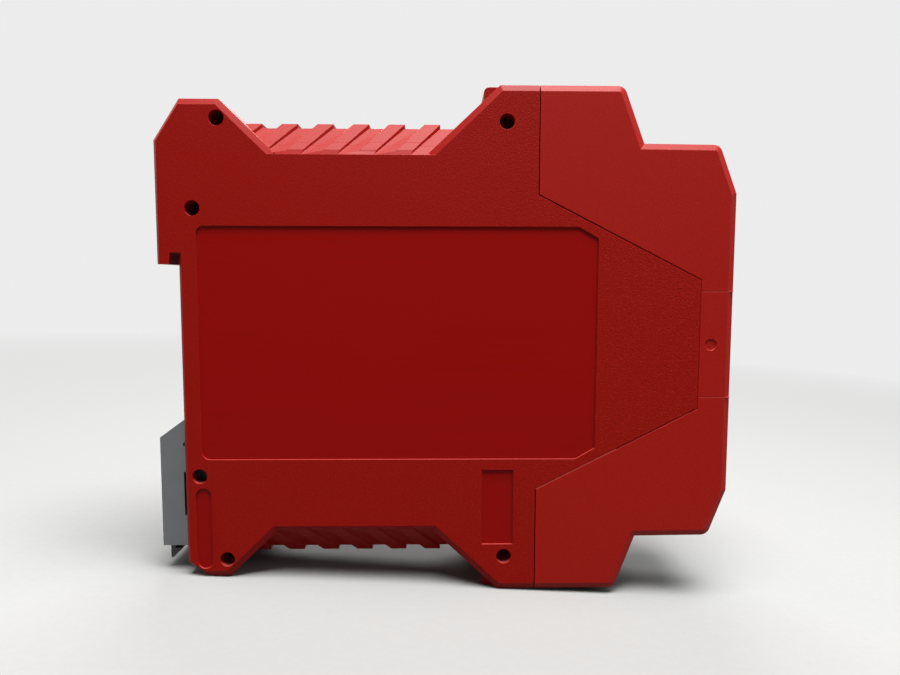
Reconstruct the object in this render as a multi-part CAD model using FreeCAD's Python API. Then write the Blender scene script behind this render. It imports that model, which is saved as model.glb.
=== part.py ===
"""Safety relay in a 22.5 mm wide housing for a 35 mm mounting rail.

Frame, in millimetres: +X to the front, +Z up, Y across the width.  The rail seat is the plane x = 0,
mid-height is z = 0 and mid-width is y = 0.  The side plate lies at -Y.
"""
import FreeCAD
import Part
import math
import os

# ---- Housing, seen from the side ----
WIDTH = 22.5
HEIGHT = 99.0
FRONT_X = 107.7          # rail seat to front face
HOOK_REACH = 4.15        # hook behind the rail seat
HOOK_TOP_Z = 38.9
LIP_Z = 15.5             # lower end of the hook
RAIL_EDGE_Z = 17.7       # upper edge of the rail's slot
RAIL_SLOT = 1.55          # slot that takes the rail's edge
LIP_DRAFT = 0.3
SEAT_RELIEF = 0.1        # relief behind the lip, so that the seat ends below it
SEAT_RELIEF_DROP = 0.2
REAR_DROP = 2.85         # rear towers below the main towers
REAR_SLANT_X = 0.85
REAR_TOWER_X = 8.3
FOOT_SLANT_X = 4.2
FOOT_SLANT_RISE = 2.95
VENT_DROP = 13.15        # vent recess at the side faces, below the main towers
VENT_REAR_X = 18.95
TOWER_SLOPE = 14.0       # length of the slope up to the main tower
TOWER_LENGTH = 7.5       # top of the main tower, from the slope to the joint
TOWER_DEPTH = 10.5       # the same between the side walls
TOWER_CORNER = 1.0
COVER_LENGTH = 38.5      # front cover, from its joint with the rear housing
SEAM_CORNER_DROP = 20.7
TONGUE_SETBACK = 6.6     # tip of the side walls' tongue behind the front face
TONGUE_Z = 12.6
BEVEL = 1.2              # bevel of the side faces' edges
REAR_BEVEL = 0.6
BEVEL_DEPTH = 0.6

# ---- Walls of the rear housing ----
SIDE_WALL = 2.0
WALL = 1.6
SEAM_GAP = 0.18

# ---- Vents ----
DECK_RISE = 5.92         # vented deck above the recess at the side faces
DECK_INSET = 5.3         # side face to the deck's edge
VENT_STRIP = 0.3         # flat strip beside the bevel
RIB_PITCH = 7.0
RIB_FIRST_X = 15.3
RIB_RISE = 0.85
RIB_TOP = 3.1
RIB_FOOT_RISE = 0.5      # rise of a rib beside the side face
RIB_END = 0.4            # length of a rib's steeper end beside the strip
RIB_RAMP = 1.1
RIB_TAIL = 6.8           # length of a rib beside the side face
RIB_SHIFT = 5.65         # how far a rib leans to the rear between deck and side face
SLIT_WIDTH = 1.2
SLIT_LENGTH = 8.0

# ---- Side face: panel, marks and assembly holes ----
PANEL_REAR_X = 3.5
PANEL_SETBACK = 20.15    # front end of the panel behind the tongue's tip
PANEL_HEIGHT = 45.6
PANEL_DEPTH = 0.3
PANEL_CORNER = 1.5
PANEL_CUT_X = 3.8
PANEL_CUT_Z = 2.2
MARK_DEPTH = 0.35
SLOT_MARK_X = 3.55
SLOT_MARK_RISE = 1.75    # above the rear foot
SLOT_MARK_LENGTH = 16.3
SLOT_MARK_WIDTH = 3.0
PLATE_MARK_SETBACK = 10.6
PLATE_MARK_TOP_Z = -25.0
PLATE_MARK_LENGTH = 15.15
PLATE_MARK_WIDTH = 6.2
HOLE_RADIUS = 1.45
HOLE_DEPTH = 7.0
HOLE_WALL = 1.0
REAR_HOLE = (7.95, 3.62)     # place along X, and below the top of the rear tower
HOOK_HOLE = (2.9, 26.15)     # place along X and Z
TOWER_HOLE_DROP = 6.85       # below the top of the main tower
BOSS_GAP = 0.2               # between the main tower's boss and the header pins

# ---- Front cover ----
STEP_SETBACK = 18.2      # corner of the step behind the front face
STEP_SLOPE_X = 4.05      # lean of the slope above the step
STEP_DROP = 10.75
STEP_LEAN = 0.15         # fall of the step towards the front
NOSE_SLOPE_X = 3.5
NOSE_DROP = 9.4
COVER_WALL = 1.4
COVER_CORNER = 1.8
CORNER_STEPS = 4
PANEL_BACK = 3.0         # centre panel behind the front face

# ---- Front insert and indicators ----
INSERT_HEIGHT = 21.0
INSERT_GAP = 0.08
WINDOW_COUNT = 5
WINDOW_PITCH = 3.6
WINDOW_WIDTH = 4.0
WINDOW_HEIGHT = 1.8
WINDOW_GAP = 0.1
GATE_MARK_RADIUS = 1.1
GATE_MARK_DEPTH = 0.2
GATE_MARK_X = 103.45

# ---- Terminal plugs ----
POLES = 4
PITCH = 4.85
PLUG_SIDE_GAP = 0.1
PLUG_LENGTH = 13.4
PLUG_HEIGHT = 9.0
PLUG_RECESS = 0.25       # plug behind the edges of the cover
PLUG_FLOOR_GAP = 0.2
FUNNEL = 3.4
FUNNEL_X = -6.5          # wire funnel, from the plug's upper front edge
SCREW_Z = -4.6           # screws and pins, from the plug's top
SCREW_ACCESS_RADIUS = 1.75
SCREW_RADIUS = 1.5
SCREW_LENGTH = 3.6
SCREW_PLAY = 0.05
SCREW_SIDES = 12         # few sides on what repeats sixteen times
SCREW_SLOT = 0.6
CAGE_LENGTH = 5.2
CAGE_HEIGHT = 5.6
CAGE_WIDTH = 3.6
CAGE_WALL = 0.6
CAGE_GAP = 0.1
FORK_SETBACK = 0.9       # fork inside the plug's rear face
FORK_BLADE = 0.45
PIN = 1.0
PIN_GAP = 0.1
PIN_STOP = 0.7           # between a pin's tip and the cage
HEADER_DEPTH = 2.8
HEADER_HEIGHT = 6.0
RISER = 1.6

# ---- Boards and what they carry ----
BOARD = 1.6
BOARD_Y = 5.0            # component side of the main board
BOARD_EDGE_GAP = 0.8
STANDOFF = 4.0
STANDOFF_INSET = 6.5     # from the inner walls to a standoff's middle
RELAY_LENGTH = 28.0
RELAY_HEIGHT = 12.8
RELAY_WIDTH = 14.0
CORE_LENGTH = 18.0
CORE_HEIGHT = 16.0
CORE_WIDTH = 11.0
WINDING_LENGTH = 10.8
WINDING_REACH = 1.6
CAPACITOR_RADIUS = 4.0
CAPACITOR_LENGTH = 11.5
CAPACITOR_SIDES = 16
CHIP_LENGTH = 9.9
CHIP_WIDTH = 3.9
CHIP_THICKNESS = 1.5
INDICATOR_SETBACK = 10.3
LED_THICKNESS = 1.1

# ---- Foot catch ----
CATCH_SHEET = 1.0
CATCH_BACK_X = -5.6
CATCH_TOP_Z = -14.75
CATCH_SHOULDER_Z = -18.85
CATCH_RISE = 5.65        # lower end of the catch above the rear foot
CATCH_FRONT_X = 1.2
CATCH_WINDOW = 1.05      # how far the flanges' windows and notches reach behind the rail seat
CATCH_WINDOW_RISE = 6.2  # above the catch's lower end
CATCH_WINDOW_LENGTH = 8.9
CATCH_NOTCH_DROP = 5.55  # below the catch's upper end
CATCH_NOTCH_RADIUS = 0.54
CATCH_GAP = 0.35         # between the catch and the side walls
CATCH_TRAVEL = 4.4
POCKET_DEPTH = 3.8       # pocket in the rear housing, behind the rail seat
POCKET_TOP_Z = -14.35
SLIDER_DROP = 1.55       # slider below the catch's shoulder
SLIDER_RISE = 4.8        # slider above the catch's lower end
SLIDER_GAP = 0.15
CLAW_LENGTH = 3.0        # claw below the catch's lower end
CLAW_THICKNESS = 1.0
CLAW_REACH = 2.2
LEDGE_GAP = 0.4          # between the catch's lower end and the ledge
LEDGE_THICKNESS = 2.4
LEDGE_WIDTH = 11.0
LEDGE_REACH = 1.2
SPRING_RADIUS = 1.5
SPRING_WIRE = 0.45
SPRING_COILS = 6
SPRING_STEPS = 12        # straight steps in one coil
SPRING_X = 0.9
SPRING_BORE = 2.1
RAIL_NECK = 1.0
RAIL_HEAD = 2.6
RAIL_Y = 3.6
RAIL_HEAD_THICKNESS = 1.0
RAIL_REACH = 2.2

HALF = WIDTH / 2
TOP_Z = HEIGHT / 2
REAR_TOP_Z = TOP_Z - REAR_DROP
FOOT_SLANT_Z = REAR_TOP_Z - FOOT_SLANT_RISE
VENT_Z = TOP_Z - VENT_DROP
DECK_Z = VENT_Z + DECK_RISE
SEAM_X = FRONT_X - COVER_LENGTH
SEAM_CORNER_Z = TOP_Z - SEAM_CORNER_DROP
TONGUE_X = FRONT_X - TONGUE_SETBACK
TOWER_X = SEAM_X - TOWER_LENGTH             # where the slope meets the top of the main tower
TOWER_BACK_X = SEAM_X - TOWER_DEPTH         # back of the main tower between the side walls
VENT_FRONT_X = TOWER_X - TOWER_SLOPE
RIB_COUNT = int((TOWER_BACK_X - RIB_FIRST_X) / RIB_PITCH)
PANEL_FRONT_X = TONGUE_X - PANEL_SETBACK
PLATE_MARK_X = SEAM_X - PLATE_MARK_SETBACK
STEP_X = FRONT_X - STEP_SETBACK
COVER_TOP_X = STEP_X - STEP_SLOPE_X
STEP_Z = TOP_Z - STEP_DROP
STEP_FRONT_X = FRONT_X - NOSE_SLOPE_X
NOSE_Z = STEP_Z - NOSE_DROP
INDICATOR_BOARD_X = FRONT_X - INDICATOR_SETBACK
CATCH_BOTTOM_Z = CATCH_RISE - REAR_TOP_Z
SLIDER_TOP_Z = CATCH_SHOULDER_Z - SLIDER_DROP
SLIDER_BOTTOM_Z = CATCH_BOTTOM_Z + SLIDER_RISE
CLAW_BOTTOM_Z = CATCH_BOTTOM_Z - CLAW_LENGTH
LEDGE_TOP_Z = CATCH_BOTTOM_Z - LEDGE_GAP
INNER = HALF - SIDE_WALL                    # half the width between the rear housing's side walls
COVER_INNER = HALF - COVER_WALL
PLUG_HALF = COVER_INNER - PLUG_SIDE_GAP
SLOPE = STEP_SLOPE_X / STEP_DROP
POLE_PLACES = [(i - (POLES - 1) / 2) * PITCH for i in range(POLES)]
OUTER_PLUG = (COVER_TOP_X - PLUG_RECESS, TOP_Z - PLUG_RECESS)
INNER_PLUG = (STEP_FRONT_X - PLUG_RECESS, STEP_Z - PLUG_RECESS)
HEADER_BACK = -PLUG_LENGTH - PLUG_FLOOR_GAP - COVER_WALL - HEADER_DEPTH     # from the plug's front edge
PIN_BACK = HEADER_BACK - RISER - PIN_GAP
TOWER_HOLE_X = OUTER_PLUG[0] + PIN_BACK - BOSS_GAP - HOLE_WALL - HOLE_RADIUS
HOLE_PLACES = ((REAR_HOLE[0], REAR_TOP_Z - REAR_HOLE[1]), HOOK_HOLE, (TOWER_HOLE_X, TOP_Z - TOWER_HOLE_DROP))


def vec(x, y, z):
    return FreeCAD.Vector(x, y, z)


def slab(points, y0, y1):
    """Solid with an (x, z) outline between two y planes."""
    wire = Part.makePolygon([vec(x, y0, z) for x, z in points + points[:1]])
    return Part.Face(wire).extrude(vec(0, y1 - y0, 0))


def block(x0, x1, y0, y1, z0, z1):
    return Part.makeBox(x1 - x0, y1 - y0, z1 - z0, vec(x0, y0, z0))


def rod(start, direction, radius, length):
    return Part.makeCylinder(radius, length, vec(*start), vec(*direction))


def few_sided_rod(start, across, along, radius, sides):
    """Rod of few sides, for small pieces that repeat: across and along are at right angles."""
    up = along.cross(across).normalize()
    ring = [vec(*start) + (across * math.cos(a) + up * math.sin(a)) * radius
            for a in [2 * math.pi * (i + 0.5) / sides for i in range(sides)]]
    return Part.Face(Part.makePolygon(ring + ring[:1])).extrude(along)


def mirrored_z(shape):
    return shape.mirror(vec(0, 0, 0), vec(0, 0, 1))


def mirrored_y(shape):
    return shape.mirror(vec(0, 0, 0), vec(0, 1, 0))


def both_z(shapes):
    """The shapes and their copies mirrored at mid-height."""
    return shapes + [mirrored_z(s) for s in shapes]


def flat_loft(first, second):
    """Solid between two rings of corners; a side that isn't flat is made of two triangles."""
    sheets = [first, second]
    for i in range(len(first)):
        a, b, c, d = first[i - 1], first[i], second[i], second[i - 1]
        flat = abs((b - a).cross(c - a).dot(d - a)) < 1e-6
        sheets += [[a, b, c, d]] if flat else [[a, b, c], [a, c, d]]
    solid = Part.Solid(Part.Shell([Part.Face(Part.makePolygon(s + s[:1])) for s in sheets]))
    return solid if solid.Volume > 0 else solid.reversed()


def edges_along_y(solid, places):
    """Edges parallel to Y that pass through the given (x, z) places."""
    found = []
    for edge in solid.Edges:
        a, b = edge.Vertexes[0].Point, edge.Vertexes[-1].Point
        upright = abs(a.x - b.x) < 1e-4 and abs(a.z - b.z) < 1e-4
        if upright and any(math.hypot(a.x - x, a.z - z) < 1e-3 for x, z in places):
            found.append(edge)
    return found


def inset(outline):
    """Corners of an (x, z, bevel) outline once each edge has moved in by its own bevel."""
    count = len(outline)
    area = sum(outline[i - 1][0] * outline[i][1] - outline[i][0] * outline[i - 1][1] for i in range(count))
    turn = 1 if area > 0 else -1
    corners = []
    for i in range(count):
        before, here, after = outline[i - 1], outline[i], outline[(i + 1) % count]
        lines = []
        for start, end, bevel in ((before, here, before[2]), (here, after, here[2])):
            length = math.hypot(end[0] - start[0], end[1] - start[1])
            nx = -turn * (end[1] - start[1]) / length
            nz = turn * (end[0] - start[0]) / length
            lines.append((nx, nz, nx * here[0] + nz * here[1] + bevel))
        (a, b, c), (d, e, f) = lines
        det = a * e - b * d
        corners.append(((c * e - b * f) / det, (a * f - c * d) / det))
    return corners


def rounded(outline, index, radius):
    """The outline with one corner replaced by short steps along an arc."""
    before, here, after = outline[index - 1], outline[index], outline[(index + 1) % len(outline)]
    corner = vec(here[0], 0, here[1])
    back = (vec(before[0], 0, before[1]) - corner).normalize()
    on = (vec(after[0], 0, after[1]) - corner).normalize()
    half = back.getAngle(on) / 2
    centre = corner + (back + on).normalize() * (radius / math.sin(half))
    first = corner + back * (radius / math.tan(half)) - centre
    last = corner + on * (radius / math.tan(half)) - centre
    sweep = math.pi - 2 * half
    steps = []
    for i in range(CORNER_STEPS + 1):
        done = sweep * i / CORNER_STEPS
        spoke = (first * math.sin(sweep - done) + last * math.sin(done)) * (1 / math.sin(sweep))
        steps.append(((centre + spoke).x, (centre + spoke).z, here[2]))
    return outline[:index] + steps + outline[index + 1:]


def bevelled_slab(outline, y0, y1):
    """Slab between y0 and y1 whose outline is bevelled on the side faces at plus and minus HALF."""
    points = [(x, z) for x, z, _ in outline]
    narrow = inset(outline)
    parts = []
    for face in (-HALF, HALF):
        if not y0 <= face <= y1:
            continue
        shoulder = face + math.copysign(BEVEL_DEPTH, -face)
        parts.append(flat_loft([vec(x, face, z) for x, z in narrow],
                               [vec(x, shoulder, z) for x, z in points]))
    low = y0 + BEVEL_DEPTH if y0 == -HALF else y0
    high = y1 - BEVEL_DEPTH if y1 == HALF else y1
    return slab(points, low, high).fuse(parts).removeSplitter()


# ---- Rear housing and side plate ----

def rear_outline():
    """Outline of the rear housing's side walls, with the bevel of each edge."""
    upper = [
        (0, RAIL_EDGE_Z, 0), (-RAIL_SLOT, RAIL_EDGE_Z, 0), (-RAIL_SLOT - LIP_DRAFT, LIP_Z, 0),
        (-HOOK_REACH, LIP_Z, REAR_BEVEL), (-HOOK_REACH, HOOK_TOP_Z, REAR_BEVEL),
        (REAR_SLANT_X, REAR_TOP_Z, BEVEL), (REAR_TOWER_X, REAR_TOP_Z, BEVEL),
        (VENT_REAR_X, VENT_Z, 0), (VENT_FRONT_X, VENT_Z, BEVEL), (TOWER_X, TOP_Z, BEVEL),
        (SEAM_X, TOP_Z, 0), (SEAM_X, SEAM_CORNER_Z, 0), (TONGUE_X, TONGUE_Z, 0)]
    lower = [
        (TONGUE_X, -TONGUE_Z, 0), (SEAM_X, -SEAM_CORNER_Z, 0), (SEAM_X, -TOP_Z, BEVEL),
        (TOWER_X, -TOP_Z, BEVEL), (VENT_FRONT_X, -VENT_Z, 0), (VENT_REAR_X, -VENT_Z, BEVEL),
        (REAR_TOWER_X, -REAR_TOP_Z, BEVEL), (FOOT_SLANT_X, -REAR_TOP_Z, REAR_BEVEL),
        (0, -FOOT_SLANT_Z, REAR_BEVEL)]
    return upper + lower


def tower():
    """Main tower between the side walls, with an upright back and a rounded corner."""
    back = VENT_Z - WALL
    ring = [(TOWER_BACK_X, back), (TOWER_BACK_X, TOP_Z), (SEAM_X, TOP_Z), (SEAM_X, back)]
    solid = slab(ring, -INNER, INNER)
    return solid.makeFillet(TOWER_CORNER, edges_along_y(solid, [(TOWER_BACK_X, TOP_Z)]))


def vent_section(x, drop):
    """Half section of a vented deck across the width, lowered by a wall's thickness."""
    side = HALF - VENT_STRIP
    edge = HALF - DECK_INSET
    lean = drop * math.tan(math.atan2(DECK_Z - VENT_Z, side - edge) / 2)
    low, high = VENT_Z - drop, DECK_Z - drop
    if drop:
        slope = (DECK_Z - VENT_Z) / (side - edge)
        side = min(INNER, edge - lean + (high - low) / slope)
        edge = edge - lean
        low = high - (side - edge) * slope
    base = VENT_Z - 3 * WALL
    ring = [(-side, base), (-side, low), (-edge, high), (edge, high), (side, low), (side, base)]
    return [vec(x, y, z) for y, z in ring + ring[:1]]


def vent_block(x0, x1, drop):
    return Part.Face(Part.makePolygon(vent_section(x0, drop))).extrude(vec(x1 - x0, 0, 0))


def rib(step_x):
    """One rib over the deck and down both bevels, leaning to the rear and flattening out behind."""
    edge, side = HALF - DECK_INSET, HALF - VENT_STRIP
    sink = WALL / 2
    rings = []
    for x, y, z, rise, back in ((step_x, -edge, DECK_Z, RIB_RISE, RIB_TOP + RIB_RAMP),
                                (step_x - RIB_SHIFT, -side, VENT_Z, RIB_FOOT_RISE, RIB_TAIL)):
        section = [(-back, 0), (-RIB_TOP, rise), (0, rise), (0, -sink), (-back, -sink)]
        rings.append([vec(x + dx, y, z + dz) for dx, dz in section])
    deck, foot = rings
    arm = flat_loft(deck, foot)
    bar = Part.Face(Part.makePolygon(deck + deck[:1])).extrude(vec(0, 2 * edge, 0))
    return bar.fuse([arm, mirrored_y(arm)])


def ribs():
    """All ribs of one deck, trimmed to the vent recess between the towers and sloping at both ends."""
    solids = [rib(RIB_FIRST_X + i * RIB_PITCH) for i in range(RIB_COUNT)]
    bay = slab([(REAR_TOWER_X, REAR_TOP_Z), (VENT_REAR_X, VENT_Z), (VENT_REAR_X, VENT_Z - WALL),
                (TOWER_BACK_X, VENT_Z - WALL), (TOWER_BACK_X, REAR_TOP_Z)], -HALF, HALF)
    side, high = HALF - VENT_STRIP, DECK_Z + 2 * RIB_RISE
    steep = (DECK_Z - VENT_Z) / (DECK_INSET - VENT_STRIP) + RIB_FOOT_RISE / RIB_END
    inner = side - (high - VENT_Z) / steep
    ring = [(-side, VENT_Z - WALL), (-side, VENT_Z), (-inner, high), (inner, high), (side, VENT_Z),
            (side, VENT_Z - WALL)]
    tent = Part.Face(Part.makePolygon([vec(0, y, z) for y, z in ring + ring[:1]])).extrude(vec(SEAM_X, 0, 0))
    return [s.common(bay).common(tent) for s in solids]


def slits():
    """Air slits through the deck, one in front of each rib."""
    return [block(x, x + SLIT_WIDTH, -SLIT_LENGTH / 2, SLIT_LENGTH / 2, VENT_Z, TOP_Z)
            for x in [RIB_FIRST_X + (i + 0.5) * RIB_PITCH - RIB_RAMP for i in range(RIB_COUNT)]]


def cavity():
    """Room for the boards, open to the front."""
    rear = POCKET_DEPTH + WALL
    low = VENT_Z - WALL
    core = block(rear, TONGUE_X + WALL, -INNER, INNER, -low, low)
    tower_room = block(TOWER_BACK_X + WALL, SEAM_X + WALL, -INNER, INNER, 0, TOP_Z - WALL)
    vent_room = vent_block(VENT_REAR_X + WALL, TOWER_BACK_X + WALL, WALL)
    return core.fuse(both_z([tower_room, vent_room]))


def pocket():
    """Room for the foot catch behind the rail seat."""
    floor = CATCH_BOTTOM_Z - CATCH_TRAVEL - CATCH_GAP
    return block(-HOOK_REACH, POCKET_DEPTH, -INNER, INNER, floor, POCKET_TOP_Z)


def catch_ledge():
    """Ledge under the catch's spring, and the two rails that hold the slider."""
    half = LEDGE_WIDTH / 2
    ledge = block(-LEDGE_REACH, POCKET_DEPTH, -half, half, LEDGE_TOP_Z - LEDGE_THICKNESS, LEDGE_TOP_Z)
    back = POCKET_DEPTH - RAIL_REACH
    neck = block(back, POCKET_DEPTH, RAIL_Y, RAIL_Y + RAIL_NECK, LEDGE_TOP_Z, POCKET_TOP_Z)
    head = block(back, back + RAIL_HEAD_THICKNESS, RAIL_Y, RAIL_Y + RAIL_HEAD, LEDGE_TOP_Z, POCKET_TOP_Z)
    rail = neck.fuse(head)
    return [ledge, rail, mirrored_y(rail)]


def panel_recess():
    """Shallow panel in a side face, with two rounded and two cut corners."""
    half = PANEL_HEIGHT / 2
    ring = [(PANEL_REAR_X, -half), (PANEL_REAR_X, half), (PANEL_FRONT_X - PANEL_CUT_X, half),
            (PANEL_FRONT_X, half - PANEL_CUT_Z), (PANEL_FRONT_X, PANEL_CUT_Z - half),
            (PANEL_FRONT_X - PANEL_CUT_X, -half)]
    solid = slab(ring, -HALF, -HALF + PANEL_DEPTH)
    return solid.makeFillet(PANEL_CORNER, edges_along_y(solid, ring[:2]))


def mark_recesses():
    """Bare recesses of the side plate: a rounded slot and a rectangle."""
    radius = SLOT_MARK_WIDTH / 2
    low = SLOT_MARK_RISE - REAR_TOP_Z
    slot = block(SLOT_MARK_X - radius, SLOT_MARK_X + radius, -HALF, -HALF + MARK_DEPTH,
                 low, low + SLOT_MARK_LENGTH)
    slot = slot.makeFillet(radius - 0.01, [e for e in slot.Edges if e.BoundBox.YLength > MARK_DEPTH / 2])
    plate = block(PLATE_MARK_X, PLATE_MARK_X + PLATE_MARK_WIDTH, -HALF, -HALF + MARK_DEPTH,
                  PLATE_MARK_TOP_Z - PLATE_MARK_LENGTH, PLATE_MARK_TOP_Z)
    return [slot, plate]


def assembly_holes(radius, y0, y1):
    """Rods at the six assembly holes, between two y planes."""
    return both_z([rod((x, y0, z), (0, 1, 0), radius, y1 - y0) for x, z in HOLE_PLACES])


def bosses():
    """Square bosses round the assembly holes, each reaching back to the wall behind it."""
    side = HOLE_RADIUS + HOLE_WALL
    return both_z([block(x - side - HOLE_WALL, x + side, -INNER, HOLE_DEPTH - HALF, z - side, z + side)
                   for x, z in HOLE_PLACES])


def standoffs():
    """Bosses of the far wall that carry the main board."""
    low = BOARD_Y + BOARD
    high = VENT_Z - WALL - STANDOFF_INSET
    places = [(POCKET_DEPTH + WALL + STANDOFF_INSET, high), (SEAM_X - STANDOFF, high)]
    half = STANDOFF / 2
    return both_z([block(x - half, x + half, low, INNER, z - half, z + half) for x, z in places])


def rear_body():
    """Rear housing with its side plate, still in one piece."""
    body = bevelled_slab(rear_outline(), -HALF, HALF)
    vent = vent_block(REAR_TOWER_X, TOWER_BACK_X + WALL, 0)
    bay = slab([(REAR_TOWER_X, REAR_TOP_Z), (VENT_REAR_X, VENT_Z), (VENT_REAR_X, 0),
                (TOWER_BACK_X + WALL, 0), (TOWER_BACK_X + WALL, REAR_TOP_Z)], -HALF, HALF)
    body = body.fuse(both_z([tower(), vent.common(bay)] + ribs()))
    relief = block(-RAIL_SLOT, SEAT_RELIEF, -HALF, HALF, LIP_Z - SEAT_RELIEF_DROP, RAIL_EDGE_Z)
    body = body.cut([cavity(), pocket(), relief] + both_z(slits()))
    hull = body_hull().cut(pocket())
    body = body.fuse(catch_ledge() + standoffs() + [s.common(hull) for s in bosses()])
    near = panel_recess()
    holes = assembly_holes(HOLE_RADIUS, -HALF, HOLE_DEPTH - HALF - HOLE_WALL)
    return body.cut([near, mirrored_y(near)] + mark_recesses() + holes)


def body_hull():
    """Outline that the bosses round the assembly holes may not leave."""
    return slab([(x, z) for x, z, _ in rear_outline()], -HALF, HALF).fuse(both_z([tower()]))


def split_rear_body():
    """The side plate and the rear housing, parted at the inner face of the near side wall."""
    body = rear_body()
    near = block(-WIDTH, FRONT_X, -WIDTH, -INNER, -HEIGHT, HEIGHT)
    return body.common(near).removeSplitter(), body.cut(near).removeSplitter()


# ---- Front cover and insert ----

def cover_outline():
    """Outline of the cover's upper side wall, with the bevel of each edge."""
    half = INSERT_HEIGHT / 2
    gap = SEAM_GAP
    return [(SEAM_X + gap, TOP_Z, BEVEL), (COVER_TOP_X, TOP_Z, BEVEL), (STEP_X, STEP_Z, BEVEL),
            (STEP_FRONT_X, STEP_Z - STEP_LEAN, BEVEL), (FRONT_X, NOSE_Z, BEVEL), (FRONT_X, half, 0),
            (TONGUE_X + gap, half, 0), (TONGUE_X + gap, TONGUE_Z + gap, 0),
            (SEAM_X + gap, SEAM_CORNER_Z + gap, 0)]


def plug_back(plug):
    """x of the wall behind a plug."""
    return plug[0] - PLUG_LENGTH - PLUG_FLOOR_GAP


def plug_floor(plug):
    """z of the floor under a plug."""
    return plug[1] - PLUG_HEIGHT - PLUG_FLOOR_GAP


def bay_walls():
    """Walls behind and under the two plugs of the upper half, and the front wall beside the insert."""
    t = COVER_WALL
    inner = COVER_INNER
    outer_back, inner_back = plug_back(OUTER_PLUG), plug_back(INNER_PLUG)
    outer_floor, inner_floor = plug_floor(OUTER_PLUG), plug_floor(INNER_PLUG)
    half = INSERT_HEIGHT / 2
    floor_front = STEP_X - (outer_floor - STEP_Z) * SLOPE
    nose = FRONT_X - t
    seat = FRONT_X - PANEL_BACK
    return [
        block(SEAM_X + SEAM_GAP, outer_back, -inner, inner, TOP_Z - t, TOP_Z),
        block(outer_back - t, outer_back, -inner, inner, outer_floor - t, TOP_Z),
        slab([(outer_back - t, outer_floor - t), (outer_back - t, outer_floor), (floor_front, outer_floor),
              (STEP_X, STEP_Z), (STEP_X, outer_floor - t)], -inner, inner),
        block(inner_back - t, inner_back, -inner, inner, inner_floor - t, STEP_Z),
        block(inner_back - t, FRONT_X, -inner, inner, inner_floor - t, inner_floor),
        block(nose, FRONT_X, -inner, inner, half, inner_floor),
        block(seat - t, FRONT_X, -inner, inner, half, half + t),
        block(seat - t, seat, -inner, inner, 0, half + t)]


def pin_passages(plug):
    """Openings for a header's pins in the wall behind a plug."""
    half = PIN / 2 + PLUG_FLOOR_GAP
    back = plug_back(plug)
    z = plug[1] + SCREW_Z
    return [block(back - 2 * COVER_WALL, back + COVER_WALL, y - half, y + half, z - half, z + half)
            for y in POLE_PLACES]


def front_cover():
    outline = rounded(rounded(cover_outline(), 3, COVER_CORNER), 1, COVER_CORNER)
    wall = bevelled_slab(outline, -HALF, -COVER_INNER)
    upper = [wall, mirrored_y(wall)] + bay_walls()
    lower = [mirrored_z(s) for s in upper]
    cover = upper[0].fuse(upper[1:] + lower)
    cuts = both_z(pin_passages(OUTER_PLUG) + pin_passages(INNER_PLUG)) + windows(WINDOW_GAP)
    return cover.cut(cuts).removeSplitter()


def windows(gap):
    """Light guides from the indicator board to the front, each grown by a gap."""
    y, z = WINDOW_WIDTH / 2 + gap, WINDOW_HEIGHT / 2 + gap
    back = INDICATOR_BOARD_X + BOARD + LED_THICKNESS + WINDOW_GAP
    rows = [(i - (WINDOW_COUNT - 1) / 2) * WINDOW_PITCH for i in range(WINDOW_COUNT)]
    return [block(back - gap, FRONT_X, -y, y, row - z, row + z) for row in rows]


def front_insert():
    """Centre piece of the front, with a cheek at each side and the window openings."""
    half = INSERT_HEIGHT / 2 - INSERT_GAP
    outline = [(TONGUE_X + SEAM_GAP, half, 0), (FRONT_X, half, BEVEL),
               (FRONT_X, -half, 0), (TONGUE_X + SEAM_GAP, -half, 0)]
    body = bevelled_slab(outline, -HALF, HALF)
    hollow = block(TONGUE_X, FRONT_X - COVER_WALL, -COVER_INNER, COVER_INNER, -half, half)
    mark = rod((GATE_MARK_X, -HALF, 0), (0, 1, 0), GATE_MARK_RADIUS, GATE_MARK_DEPTH)
    return body.cut([hollow, mark, mirrored_y(mark)] + windows(WINDOW_GAP))


# ---- Terminal plugs, all in the place of an upper plug whose upper front edge is at x = 0, z = 0 ----

def plug_body():
    """Moulded body with wire funnels above, screw holes in the sloping front and sockets behind."""
    half = PLUG_HALF
    front = PLUG_HEIGHT * SLOPE
    body = slab([(0, 0), (front, -PLUG_HEIGHT), (-PLUG_LENGTH, -PLUG_HEIGHT), (-PLUG_LENGTH, 0)], -half, half)
    side = PIN / 2 + PIN_GAP + CAGE_GAP
    rise = side + FORK_BLADE
    low, high = FUNNEL_X - FUNNEL / 2, FUNNEL_X + FUNNEL / 2
    cage_front = FUNNEL_X + CAGE_LENGTH / 2
    cuts = []
    for y in POLE_PLACES:
        cuts.append(block(low, high, y - FUNNEL / 2, y + FUNNEL / 2, SCREW_Z, PLUG_RECESS))
        cuts.append(cage_room(y))
        cuts.append(rod((cage_front, y, SCREW_Z), (1, 0, 0), SCREW_ACCESS_RADIUS, PLUG_LENGTH))
        cuts.append(block(-PLUG_LENGTH, FUNNEL_X, y - side, y + side, SCREW_Z - rise, SCREW_Z + rise))
    return body.cut(cuts)


def cage_room(y):
    x, w, z = CAGE_LENGTH / 2 + CAGE_GAP, CAGE_WIDTH / 2 + CAGE_GAP, CAGE_HEIGHT / 2 + CAGE_GAP
    return block(FUNNEL_X - x, FUNNEL_X + x, y - w, y + w, SCREW_Z - z, SCREW_Z + z)


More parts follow.
